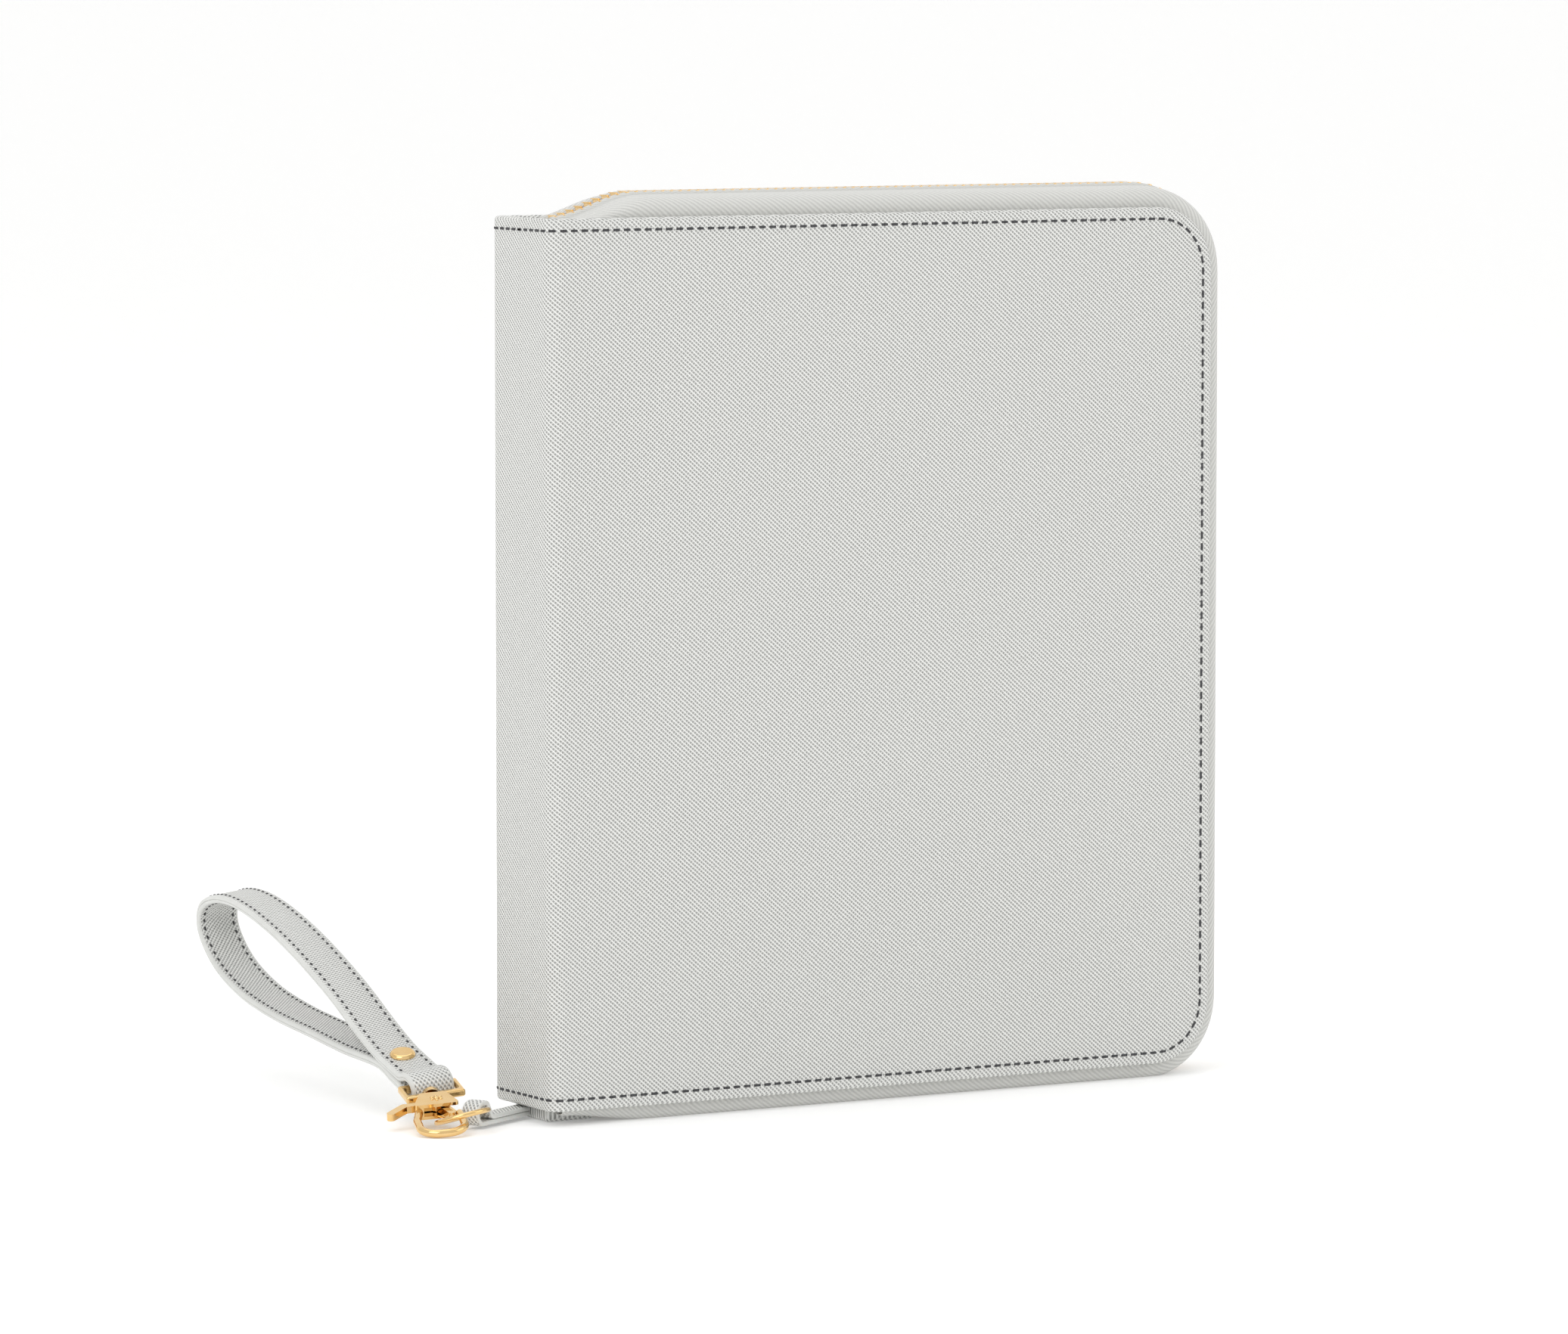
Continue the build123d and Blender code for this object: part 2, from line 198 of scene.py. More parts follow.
def mix_colour(tree, factor, first, second):
    """A colour between two colours, each a socket or a tuple."""
    node = tree.nodes.new("ShaderNodeMix")
    node.data_type = "RGBA"
    for index, value in ((0, factor), (6, first), (7, second)):
        if isinstance(value, bpy.types.NodeSocket):
            tree.links.new(value, node.inputs[index])
        else:
            node.inputs[index].default_value = value
    return node.outputs[2]


def waves(tree, vector, period, turn, distortion):
    """Smooth ridges of the given spacing in metres, turned in the pattern's plane."""
    turned = tree.nodes.new("ShaderNodeMapping")
    turned.inputs["Rotation"].default_value = (0, 0, turn)
    tree.links.new(vector, turned.inputs["Vector"])
    wave = tree.nodes.new("ShaderNodeTexWave")
    wave.wave_type = "BANDS"
    wave.bands_direction = "X"
    wave.inputs["Scale"].default_value = 2 * pi / (20 * period)
    wave.inputs["Distortion"].default_value = distortion
    wave.inputs["Detail"].default_value = 1.0
    wave.inputs["Detail Scale"].default_value = 2.0
    tree.links.new(turned.outputs[0], wave.inputs["Vector"])
    return wave.outputs["Fac"]


def noise(tree, vector, size, detail=2.0):
    """Soft noise whose blotches are about the given size in metres."""
    node = tree.nodes.new("ShaderNodeTexNoise")
    node.inputs["Scale"].default_value = 1 / size
    node.inputs["Detail"].default_value = detail
    tree.links.new(vector, node.inputs["Vector"])
    return node.outputs["Fac"]


def make_saffiano():
    """Cross-hatch embossing: strong ridges one way, finer ones across them, with painted shade darkening the
    colour in the valleys.
    """
    group, given, result = new_group(
        "cross_hatch_emboss",
        [("Vector", "NodeSocketVector", None), ("Tone", "NodeSocketColor", (0.6, 0.6, 0.6, 1)),
         ("Wear", "NodeSocketFloat", 0.5)],
        [("Color", "NodeSocketColor"), ("Roughness", "NodeSocketFloat"), ("Height", "NodeSocketFloat")])
    vector = given.outputs["Vector"]
    strong = waves(group, vector, 0.98 * MM, radians(50), 0.7)
    fine = waves(group, vector, 0.86 * MM, radians(-44), 0.9)
    pores = noise(group, vector, 0.8 * MM, 3.0)
    blotch = noise(group, vector, 60 * MM, 3.0)
    ridges = math_node(group, "MULTIPLY_ADD", fine, 0.5)
    group.links.new(strong, ridges.node.inputs[2])
    height = math_node(group, "MULTIPLY_ADD", pores, 0.45)
    group.links.new(ridges, height.node.inputs[2])
    # Painted shade: the colour darkens where the ridges dip, darkest in dots where both sets of valleys
    # cross, standing in for the shadow in the embossing's hollows.
    painted_valley_shade_colour = mix_colour(group, 0.92, given.outputs["Tone"], (0.15, 0.15, 0.145, 1))
    furrow = math_node(group, "SUBTRACT", 1.0, strong)
    crossing = math_node(group, "SUBTRACT", 1.1, math_node(group, "MULTIPLY", fine, 0.7))
    valley = math_node(group, "MULTIPLY", furrow, crossing, clamp=True)
    shade = math_node(group, "MULTIPLY", valley, 0.95)
    toned = mix_colour(group, shade, given.outputs["Tone"], painted_valley_shade_colour)
    patch = math_node(group, "MULTIPLY", blotch, given.outputs["Wear"])
    patch = math_node(group, "MULTIPLY", patch, 0.25)
    lighter = mix_colour(group, patch, toned, (0.78, 0.78, 0.75, 1))
    rough = math_node(group, "MULTIPLY_ADD", valley, 0.16)
    rough.node.inputs[2].default_value = 0.44
    group.links.new(lighter, result.inputs["Color"])
    group.links.new(rough, result.inputs["Roughness"])
    group.links.new(height, result.inputs["Height"])
    return group


def make_weave():
    """Twill weave: raised diagonal ribs crossed by finer yarn."""
    group, given, result = new_group(
        "woven_threads",
        [("Vector", "NodeSocketVector", None), ("Warp", "NodeSocketColor", (0.6, 0.6, 0.6, 1)),
         ("Weft", "NodeSocketColor", (0.5, 0.5, 0.5, 1)), ("Thread", "NodeSocketFloat", 1.0)],
        [("Color", "NodeSocketColor"), ("Roughness", "NodeSocketFloat"), ("Height", "NodeSocketFloat")])
    sized = group.nodes.new("ShaderNodeVectorMath")
    sized.operation = "SCALE"
    group.links.new(given.outputs["Vector"], sized.inputs[0])
    group.links.new(given.outputs["Thread"], sized.inputs["Scale"])
    vector = sized.outputs[0]
    rib = waves(group, vector, 1.15 * MM, radians(52), 0.6)
    yarn = waves(group, vector, 0.75 * MM, radians(-48), 0.8)
    fuzz = noise(group, vector, 1.5 * MM, 3.0)
    cloth = math_node(group, "MULTIPLY_ADD", yarn, 0.4)
    group.links.new(rib, cloth.node.inputs[2])
    height = math_node(group, "MULTIPLY_ADD", fuzz, 0.3)
    group.links.new(cloth, height.node.inputs[2])
    raised = math_node(group, "MULTIPLY", rib, 0.8)
    toned = mix_colour(group, raised, given.outputs["Weft"], given.outputs["Warp"])
    rough = math_node(group, "MULTIPLY_ADD", fuzz, 0.15)
    rough.node.inputs[2].default_value = 0.72
    group.links.new(toned, result.inputs["Color"])
    group.links.new(rough, result.inputs["Roughness"])
    group.links.new(height, result.inputs["Height"])
    return group


def new_material(name):
    """A material with its Principled shader, ready to be wired."""
    material = bpy.data.materials.new(name)
    material.use_nodes = True
    return material, material.node_tree, material.node_tree.nodes["Principled BSDF"]


def add_bump(tree, shader, height, strength, distance):
    """Raise the shading by a height socket."""
    bump = tree.nodes.new("ShaderNodeBump")
    bump.inputs["Strength"].default_value = strength
    bump.inputs["Distance"].default_value = distance
    tree.links.new(height, bump.inputs["Height"])
    tree.links.new(bump.outputs[0], shader.inputs["Normal"])


def coordinates(tree, source):
    """The UV or Object coordinates of a surface."""
    return tree.nodes.new("ShaderNodeTexCoord").outputs[source]


def grouped(name, group, source, values, strength, distance, sheen=0.0):
    """A material that takes colour, roughness and relief from a node group."""
    material, tree, shader = new_material(name)
    node = tree.nodes.new("ShaderNodeGroup")
    node.node_tree = group
    tree.links.new(coordinates(tree, source), node.inputs["Vector"])
    for label, value in values.items():
        node.inputs[label].default_value = value
    tree.links.new(node.outputs["Color"], shader.inputs["Base Color"])
    tree.links.new(node.outputs["Roughness"], shader.inputs["Roughness"])
    add_bump(tree, shader, node.outputs["Height"], strength, distance)
    shader.inputs["Sheen Weight"].default_value = sheen
    return material


def gold(name, colour, roughness):
    """Light gold plate with faint polishing marks and duller patches."""
    material, tree, shader = new_material(name)
    vector = coordinates(tree, "Object")
    cloud = noise(tree, vector, 4 * MM, 2.0)
    marks = noise(tree, vector, 0.5 * MM, 4.0)
    rough = math_node(tree, "MULTIPLY_ADD", cloud, 0.12)
    rough.node.inputs[2].default_value = roughness
    tree.links.new(rough, shader.inputs["Roughness"])
    warmer = (colour[0] * 0.9, colour[1] * 0.8, colour[2] * 0.6, 1)
    tree.links.new(mix_colour(tree, cloud, colour, warmer), shader.inputs["Base Color"])
    shader.inputs["Metallic"].default_value = 1.0
    add_bump(tree, shader, marks, 0.08, 0.05 * MM)
    return material


def paper():
    """Cut page edges: fine lines parallel to the leaves, a little uneven."""
    material, tree, shader = new_material("page_edges")
    vector = coordinates(tree, "Object")
    turned = tree.nodes.new("ShaderNodeMapping")
    turned.inputs["Scale"].default_value = (0.02, 1.0, 0.02)
    tree.links.new(vector, turned.inputs["Vector"])
    leaves = noise(tree, turned.outputs[0], 0.12 * MM, 2.0)
    age = noise(tree, vector, 40 * MM, 3.0)
    toned = mix_colour(tree, leaves, (0.62, 0.57, 0.47, 1), (0.86, 0.83, 0.75, 1))
    aged = mix_colour(tree, math_node(tree, "MULTIPLY", age, 0.3), toned, (0.72, 0.64, 0.5, 1))
    tree.links.new(aged, shader.inputs["Base Color"])
    shader.inputs["Roughness"].default_value = 0.8
    add_bump(tree, shader, leaves, 0.5, 0.1 * MM)
    return material


def thread():
    """Waxed dark sewing thread, twisted."""
    material, tree, shader = new_material("sewing_thread")
    twist = waves(tree, coordinates(tree, "Object"), 0.35 * MM, radians(35), 0.5)
    tree.links.new(mix_colour(tree, twist, (0.018, 0.018, 0.02, 1), (0.06, 0.06, 0.065, 1)),
                   shader.inputs["Base Color"])
    shader.inputs["Roughness"].default_value = 0.55
    add_bump(tree, shader, twist, 0.4, 0.08 * MM)
    return material


def edge_paint():
    """Smooth painted edge of the strap, with slight waviness."""
    material, tree, shader = new_material("edge_paint")
    soft = noise(tree, coordinates(tree, "Object"), 6 * MM, 2.0)
    tree.links.new(mix_colour(tree, soft, (0.60, 0.605, 0.58, 1), (0.70, 0.705, 0.68, 1)),
                   shader.inputs["Base Color"])
    shader.inputs["Roughness"].default_value = 0.38
    add_bump(tree, shader, soft, 0.15, 0.3 * MM)
    return material


MATERIALS = {}


def make_materials(settings):
    """Every finish of the case, made once."""
    if MATERIALS:
        return
    saffiano, weave = make_saffiano(), make_weave()
    tone = (*settings.leather_tone, 1)
    MATERIALS.update(
        leather=grouped("leather", saffiano, "UV", {"Tone": tone, "Wear": 0.5}, 0.9, 0.3 * MM),
        strap=grouped("strap_leather", saffiano, "UV", {"Tone": tone, "Wear": 0.3}, 0.9, 0.3 * MM),
        trim=grouped("trim_leather", saffiano, "Object", {"Tone": tone, "Wear": 0.3}, 0.9, 0.3 * MM),
        tape=grouped("zip_tape", weave, "UV", {"Warp": (0.70, 0.70, 0.67, 1), "Weft": (0.52, 0.52, 0.50, 1)},
                     0.5, 0.18 * MM, sheen=0.2),
        lining=grouped("lining_cloth", weave, "Object",
                       {"Warp": (0.58, 0.58, 0.56, 1), "Weft": (0.46, 0.46, 0.45, 1), "Thread": 2.0},
                       0.4, 0.1 * MM),
        ribbon=grouped("satin_ribbon", weave, "Object",
                       {"Warp": (0.66, 0.62, 0.54, 1), "Weft": (0.56, 0.52, 0.44, 1), "Thread": 4.0},
                       0.25, 0.05 * MM, sheen=0.5),
        band=grouped("head_band_cloth", weave, "Object",
                     {"Warp": (0.80, 0.76, 0.66, 1), "Weft": (0.35, 0.30, 0.24, 1), "Thread": 1.0},
                     0.5, 0.15 * MM),
        board=grouped("grey_board", weave, "Object",
                      {"Warp": (0.45, 0.41, 0.35, 1), "Weft": (0.38, 0.34, 0.29, 1), "Thread": 3.0},
                      0.2, 0.05 * MM),
        gold=gold("light_gold", (*settings.gold_tone, 1), 0.07),
        teeth=gold("tooth_gold", (*settings.gold_tone, 1), 0.20),
        paper=paper(), thread=thread(), edge=edge_paint())


# ---------------------------------------------------------------- covers and spine
def build_skin(name, side):
    """Leather of one half of the case: half of the spine, the rounded corner and a cover."""
    bm = bmesh.new()
    bottom, top = (0, Z_LOW), (0, Z_TOP)
    outline = rounded([bottom, (SKIN_W, Z_LOW), (SKIN_W, Z_TOP), top], [0, CASE_R, CASE_R, 0])
    face = bm.faces.new([bm.verts.new((s, z, 0)) for s, z in outline])
    wall = bmesh.ops.extrude_face_region(bm, geom=[face])
    inner = [v for v in wall["geom"] if isinstance(v, bmesh.types.BMVert)]
    bmesh.ops.translate(bm, verts=inner, vec=(0, 0, SKIN_T))
    rims = [e for e in bm.edges if abs(e.verts[0].co.z - e.verts[1].co.z) < 1e-6
            and max(v.co.x for v in e.verts) > 1e-6]
    bmesh.ops.bevel(bm, geom=rims, offset=EDGE_ROUNDING, segments=5, profile=0.5, affect="EDGES", material=-1)
    cuts = [FLAT_HALF + BEND_RUN * i / 10 for i in range(11)]
    cuts += [FLAT_HALF + BEND_RUN + DROP_RUN * i / 8 for i in range(1, 9)]
    for s in cuts:
        everything = list(bm.verts) + list(bm.edges) + list(bm.faces)
        bmesh.ops.bisect_plane(bm, geom=everything, plane_co=(s, 0, 0), plane_no=(1, 0, 0))
    uv = bm.loops.layers.uv.new("surface")
    for f in bm.faces:
        for loop in f.loops:
            loop[uv].uv = (side * (loop.vert.co.x + loop.vert.co.z), loop.vert.co.y)
    for v in bm.verts:
        v.co = skin_point(side, v.co.x, v.co.y, v.co.z)
    bmesh.ops.recalc_face_normals(bm, faces=list(bm.faces))
    made = piece(f"{name}_case_leather", bm, MATERIALS["leather"], sharp=60.0)
    hinge_blend(made)
    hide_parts(f"{name}_cover_leather")
    if side < 0:
        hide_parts("spine_leather")


def add_stitch(bm, place, turn, length, width):
    """One raised stitch lying in the xy plane."""
    size = Matrix.Diagonal((length, width, width, 1))
    matrix = Matrix.Translation(place) @ Matrix.Rotation(turn, 4, "Z") @ size
    bmesh.ops.create_cube(bm, size=1.0, matrix=matrix)


def stitch_places(path, pitch):
    """Evenly spaced places and directions along a path."""
    places, spare = [], pitch / 2
    for start, end in zip(path, path[1:]):
        run = (end - start).length
        while spare < run:
            step = end - start
            places.append((start + step * (spare / run), atan2(step.y, step.x)))
            spare += pitch
        spare -= run
    return places


def build_cover_stitches(name, side, pitch, length, width):
    """Dark stitches round three sides of a cover and over the ends of the spine."""
    bm = bmesh.new()
    low, high, far = Z_LOW + STITCH_INSET, Z_TOP - STITCH_INSET, SKIN_W - STITCH_INSET
    corner = CASE_R - STITCH_INSET
    path = rounded([(0, low), (far, low), (far, high), (0, high)], [0, corner, corner, 0])
    for place, turn in stitch_places(path, pitch):
        add_stitch(bm, (place.x, place.y, 0), turn, length, width)
    bmesh.ops.bevel(bm, geom=list(bm.edges), offset=width * 0.3, segments=2, profile=0.5,
                    affect="EDGES", material=-1)
    for v in bm.verts:
        v.co = skin_point(side, v.co.x, v.co.y, v.co.z * STITCH_FLATNESS)
    bmesh.ops.recalc_face_normals(bm, faces=list(bm.faces))
    made = piece(f"{name}_cover_stitches", bm, MATERIALS["thread"])
    hinge_blend(made)


# ---------------------------------------------------------------- zip tape and teeth
X_TURN = X_EDGE - CASE_R
ZIP_FOOT_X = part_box("foot_patch")[0].x + 1 * MM  # the lower end of the tape, at the spine
ZIP_HEAD_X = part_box("front_zip_teeth")[0].x - 5 * MM
DIVE_RUN = 27.0 * MM
SINK_RUN = 30.0 * MM  # where the lower tape comes down from between the covers
STRETCHES = (
    ("foot", X_TURN - ZIP_FOOT_X), ("low_corner", CASE_R * pi / 2), ("fore", Z_TOP - Z_LOW - 2 * CASE_R),
    ("high_corner", CASE_R * pi / 2), ("top", X_TURN - ZIP_HEAD_X),
)
ZIP_RUN = sum(run for stretch, run in STRETCHES)
# sections of the tape in millimetres: off the case's middle plane, then out from the cover's edge
BULGE = ((13.9, -3.0), (13.8, 0.0), (14.0, 2.0), (13.8, 3.6), (12.8, 4.5), (10.5, 5.0), (7.2, 5.3),
         (4.9, 5.1), (4.2, 5.3), (3.8, 6.0), (3.0, 6.3), (2.3, 5.8), (2.1, 4.9))
FOLD = ((13.9, -3.0), (13.8, 0.0), (13.9, 2.0), (13.5, 3.3), (12.4, 4.0), (10.0, 4.1), (7.9, 3.4),
        (5.6, 1.7), (4.3, 1.0), (3.8, 1.7), (3.0, 2.0), (2.3, 1.5), (2.1, 0.6))
DIVE = ((13.9, -4.0), (13.8, -3.2), (13.6, -2.6), (13.2, -2.2), (12.2, -2.0), (10.0, -1.9), (7.2, -1.8),
        (4.9, -1.8), (4.2, -1.5), (3.8, -0.7), (3.0, -0.4), (2.3, -0.9), (2.1, -1.8))
TAPE_T = 0.7 * MM
TAPE_STEPS = 240  # rows of faces along the tape
TEETH_RISE = 0.55 * MM  # the teeth's middle above the tape's end
TEETH_MID = 2.05 * MM  # the teeth's middle off the case's middle plane
TOOTH_SIZE = Matrix.Diagonal((1.35 * MM, 3.8 * MM, 2.7 * MM, 1))


def smooth(value):
    """A soft step from 0 to 1."""
    value = min(max(value, 0.0), 1.0)
    return value * value * (3 - 2 * value)


def zip_place(run):
    """Base point and outward direction on a cover's edge, run metres along from the foot patch."""
    for stretch, length in STRETCHES:
        if run <= length or stretch == "top":
            break
        run -= length
    share = run / length
    if stretch == "foot":
        return Vector((ZIP_FOOT_X + run, 0, Z_LOW)), Vector((0, 0, -1))
    if stretch == "fore":
        return Vector((X_EDGE, 0, Z_LOW + CASE_R + run)), Vector((1, 0, 0))
    if stretch == "top":
        return Vector((X_TURN - run, 0, Z_TOP)), Vector((0, 0, 1))
    turn = (share - 1) * pi / 2 if stretch == "low_corner" else share * pi / 2
    z = Z_LOW + CASE_R if stretch == "low_corner" else Z_TOP - CASE_R
    out = Vector((cos(turn), 0, sin(turn)))
    return Vector((X_TURN, 0, z)) + out * CASE_R, out


def tape_section(run):
    """The tape's section there: a mix of the bulge, the squashed fold and the dive at the spine."""
    fold = 1 - smooth((run - STRETCHES[0][1] + 10 * MM) / (CASE_R * pi / 2))
    dive = smooth(1 - (ZIP_RUN - run) / DIVE_RUN) + smooth(1 - run / SINK_RUN) * 0.45
    return [(wide + (a - wide) * fold, out + (b - out) * fold + (c - out) * dive)
            for (wide, out), (a, b), (_, c) in zip(BULGE, FOLD, DIVE)]


def build_tape(name, side):
    """Half of the gusset: woven tape bulging from a cover's edge to its row of teeth."""
    rows = len(BULGE) - 1
    bm = bmesh.new()
    bmesh.ops.create_grid(bm, x_segments=TAPE_STEPS, y_segments=rows, size=0.5)
    uv = bm.loops.layers.uv.new("surface")
    steps = {v: (round((v.co.x + 0.5) * TAPE_STEPS), round((v.co.y + 0.5) * rows)) for v in bm.verts}
    for f in bm.faces:
        for loop in f.loops:
            i, j = steps[loop.vert]
            loop[uv].uv = (ZIP_RUN * i / TAPE_STEPS, 2.0 * MM * j)
    for v, (i, j) in steps.items():
        run = ZIP_RUN * i / TAPE_STEPS
        base, out = zip_place(run)
        width, height = tape_section(run)[j]
        v.co = base + out * (height * MM) + Vector((0, side * width * MM, 0))
    if side > 0:
        bmesh.ops.reverse_faces(bm, faces=list(bm.faces))
    made = piece(f"{name}_gusset_tape", bm, MATERIALS["tape"], sharp=80.0)
    sheet = made.modifiers.new("cloth", "SOLIDIFY")
    sheet.thickness = TAPE_T
    sheet.offset = -1.0
    soft = made.modifiers.new("soft", "SUBSURF")
    soft.levels = soft.render_levels = 1
    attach(made, f"{name}_cover")
    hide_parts(f"{name}_zip_tape")


def build_teeth(name, side, pitch):
    """A row of separate metal teeth along the tape's edge."""
    bm = bmesh.new()
    run = pitch * (0.5 if side < 0 else 1.0) + 4 * MM
    while run < ZIP_RUN - 2 * MM:
        base, out = zip_place(run)
        height = tape_section(run)[-1][1] * MM + TEETH_RISE
        place = base + out * height + Vector((0, side * TEETH_MID, 0))
        along = out.cross(Vector((0, 1, 0)))
        turned = Matrix((along, (0, 1, 0), out)).transposed().to_4x4()
        bmesh.ops.create_cube(bm, size=1.0, matrix=Matrix.Translation(place) @ turned @ TOOTH_SIZE)
        run += pitch
    bmesh.ops.bevel(bm, geom=list(bm.edges), offset=0.32 * MM, segments=2, profile=0.5,
                    affect="EDGES", material=-1)
    bmesh.ops.recalc_face_normals(bm, faces=list(bm.faces))
    made = piece(f"{name}_zip_row", bm, MATERIALS["teeth"])
    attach(made, f"{name}_cover")
    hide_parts(f"{name}_zip_teeth")


# ---------------------------------------------------------------- strap and tab
def build_band(name, path, closed, place, width, thick, groove, materials):
    """A flat band swept along a path in a plane, with rounded edges and a line between its plies."""
    half_w, half_t, r = width / 2, thick / 2, 0.32 * thick
    section = [(-half_w + r, half_t), (-half_w + r * 0.3, half_t - r * 0.3), (-half_w, half_t - r),
               (-half_w, groove), (-half_w + groove * 1.6, 0), (-half_w, -groove), (-half_w, -half_t + r),
               (-half_w + r * 0.3, -half_t + r * 0.3), (-half_w + r, -half_t)]
    last_left = len(section) - 1
    section += [(-w, t) for w, t in reversed(section)]
    count, around = len(path), len(section)
    distance = [0.0]
    for a, b in zip(path, path[1:]):
        distance.append(distance[-1] + (b - a).length)
    rows = count if closed else count - 1
    bm = bmesh.new()
    bmesh.ops.create_grid(bm, x_segments=rows, y_segments=around, size=0.5)
    uv = bm.loops.layers.uv.new("surface")
    total = distance[-1] + ((path[0] - path[-1]).length if closed else 0)
    steps = {v: (round((v.co.x + 0.5) * rows), round((v.co.y + 0.5) * around)) for v in bm.verts}
    for f in bm.faces:
        columns = [steps[v][1] for v in f.verts]
        flat = min(columns) in (last_left, around - 1)
        f.material_index = 0 if flat else 1
        for loop in f.loops:
            i, j = steps[loop.vert]
            loop[uv].uv = (distance[i] if i < count else total, section[j % around][0])
    for v, (i, j) in steps.items():
        here = path[i % count]
        before = path[i - 1] if i or closed else here
        after = path[(i + 1) % count] if i < count - 1 or closed else here
        run = (after - before).normalized()
        normal = Vector((-run.y, run.x))
        wide, out = section[j % around]
        v.co = place(here + normal * out, wide)
    bmesh.ops.remove_doubles(bm, verts=list(bm.verts), dist=1e-7)
    if not closed:
        bmesh.ops.holes_fill(bm, edges=[e for e in bm.edges if e.is_boundary], sides=0)
    bmesh.ops.recalc_face_normals(bm, faces=list(bm.faces))
    return piece(name, bm, *materials, sharp=50.0)


STRAP_W = 12.7 * MM
STRAP_T = 2.4 * MM
STRAP_GROOVE = 0.12 * MM  # line between the two plies
STRAP_STITCH_PITCH, STRAP_STITCH_LENGTH, STRAP_STITCH_WIDTH = 3.1 * MM, 1.05 * MM, 0.6 * MM
STRAP_ROW = STRAP_W / 2 - 1.8 * MM  # a row of stitches off the strap's middle line
TURN_END = 5 * MM  # the turn round the bail has no stitches
TAIL_END = 25 * MM  # up to here the two arms lie on each other
TAIL_RISE = radians(16.3)
# the strap's middle line in millimetres: away from the bail, then up
TAIL = ((22.0, 1.2), (12.0, 1.2), (6.4, 1.4), (3.0, 2.9), (0.0, 3.4), (-2.5, 2.4), (-3.4, 0.0), (-2.5, -2.4),
        (0.0, -3.4), (3.0, -2.9), (6.4, -1.4), (12.0, -1.2), (22.0, -1.25))
LOOP = ((45.0, 5.8), (70.0, 7.6), (96.0, 9.4), (120.0, 12.9), (138.0, 19.3), (147.0, 28.2), (144.5, 35.9),
        (133.0, 39.9), (117.0, 40.4), (98.0, 37.4), (76.0, 31.2), (52.0, 21.9), (33.0, 12.6))


def strap_place(point, wide):
    """A point of the strap: along and up in its plane, then across it."""
    return BAIL_AT + ALONG * point.x + LIFT * point.y + ACROSS * wide


def tail_point(run, up):
    """A corner of the strap's pinched tail: away from the bail, then up off its middle line."""
    return (run * cos(TAIL_RISE) - up * sin(TAIL_RISE), run * sin(TAIL_RISE) + up * cos(TAIL_RISE))


def smooth_path(points, spans):
    """A closed smooth curve through points, each stretch between two of them in equal steps."""
    path = []
    for i in range(len(points)):
        a, b, c, d = (points[(i + k) % len(points)] for k in (-1, 0, 1, 2))
        for k in range(spans):
            t = k / spans
            square, cube = a * 2 - b * 5 + c * 4 - d, b * 3 - a - c * 3 + d
            path.append(b + ((c - a) * t + square * t**2 + cube * t**3) / 2)
    return path


def strap_path():
    """Middle of the strap: round the bail, along the tail, out along the lower arm and back."""
    corners = [Vector(tail_point(*p)) for p in TAIL] + [Vector(p) for p in LOOP]
    return smooth_path([corner * MM for corner in corners], 8)


def build_strap():
    """Two-ply wrist strap with painted edges, and its dark stitches on both faces."""
    path = strap_path()
    made = build_band("wrist_strap", path, True, strap_place, STRAP_W, STRAP_T, STRAP_GROOVE,
                      (MATERIALS["strap"], MATERIALS["edge"]))
    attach(made, "strap")
    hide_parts("strap_face", "strap_lining")

    bm = bmesh.new()
    size = Matrix.Diagonal((STRAP_STITCH_LENGTH, STRAP_STITCH_WIDTH, STRAP_STITCH_WIDTH * 0.8, 1))
    for place, turn in stitch_places(path, STRAP_STITCH_PITCH):
        if place.x < TURN_END:
            continue
        run, normal = Vector((cos(turn), sin(turn))), Vector((-sin(turn), cos(turn)))
        axes = (ALONG * run.x + LIFT * run.y, ACROSS, ALONG * normal.x + LIFT * normal.y)
        turned = Matrix(axes).transposed().to_4x4()
        faces = (-1,) if place.x < TAIL_END else (-1, 1)
        for face in faces:
            for wide in (-STRAP_ROW, STRAP_ROW):
                spot = strap_place(place + normal * (face * STRAP_T / 2), wide)
                bmesh.ops.create_cube(bm, size=1.0, matrix=Matrix.Translation(spot) @ turned @ size)
    bmesh.ops.bevel(bm, geom=list(bm.edges), offset=STRAP_STITCH_WIDTH * 0.25, segments=2, profile=0.5,
                    affect="EDGES", material=-1)
    bmesh.ops.recalc_face_normals(bm, faces=list(bm.faces))
    stitches = piece("strap_stitches", bm, MATERIALS["thread"])
    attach(stitches, "strap")


TAB_W, TAB_T = 5.4 * MM, 1.3 * MM
TAB_MID = 2.85  # half the height of the tab's turn round the ring, millimetres
TAB_REACH = 27.5  # how far the tab runs in under the case, millimetres
PATCH_W = 14 * MM


def build_tab():
    """Folded leather tab that holds the ring, its ends under the foot patch."""
    inward = TAB_ACROSS.cross(Vector((0, 0, 1)))
    corners = ((TAB_REACH, -TAB_MID), (-TAB_MID, -TAB_MID), (-TAB_MID, TAB_MID), (1.9, TAB_MID), (4.6, -1.5),
               (TAB_REACH, -1.5))
    radii = (0.0, TAB_MID - 0.05, TAB_MID - 0.05, 1.2, 1.6, 0.0)
    path = [p * MM for p in rounded(corners, radii, step=radians(8))]

    def tab_place(point, wide):
        return FOLD_AT + inward * point.x + Vector((0, 0, point.y)) + TAB_ACROSS * wide

    made = build_band("ring_loop_leather", path, False, tab_place, TAB_W, TAB_T, 0.0,
                      (MATERIALS["strap"], MATERIALS["edge"]))
    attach(made, "spine")
    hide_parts("ring_tab")


